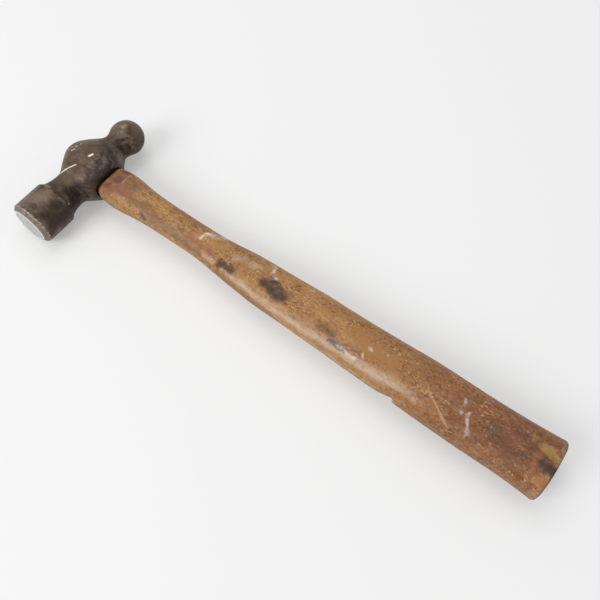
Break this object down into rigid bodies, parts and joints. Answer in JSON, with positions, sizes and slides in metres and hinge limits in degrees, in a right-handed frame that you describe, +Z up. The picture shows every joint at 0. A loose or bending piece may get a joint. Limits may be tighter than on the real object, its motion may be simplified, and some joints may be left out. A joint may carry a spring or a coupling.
{
  "type": "ball peen hammer",
  "caption": "Ball peen hammer for metalwork: steel head with a flat striking face and a ball peen, wedged on an oval hardwood handle.",
  "frame": {"origin": "on the lower cheek flat of the head, straight below the centre of the eye: the hammer lies on its side on the plane z = 0", "axes": "+X along the handle from the head to the butt; +Y along the head from the striking face to the ball peen; +Z up, square to both cheek flats"},
  "size_m": [0.3406, 0.0967, 0.029],
  "materials": {
    "head_steel": "old dark brown patina on forged steel, worn to bright metal on the striking face",
    "handle_wood": "worn varnish on golden to reddish brown hardwood, stained and specked",
    "wedge_wood": "end grain, dull and darkened",
    "wedge_steel": "dull mild steel with a little rust"
  },
  "bodies": {
    "root": {"head": "head_steel", "handle": "handle_wood", "wooden_wedge": "wedge_wood", "steel_wedge_1": "wedge_steel", "steel_wedge_2": "wedge_steel"}
  },
  "joints": []
}
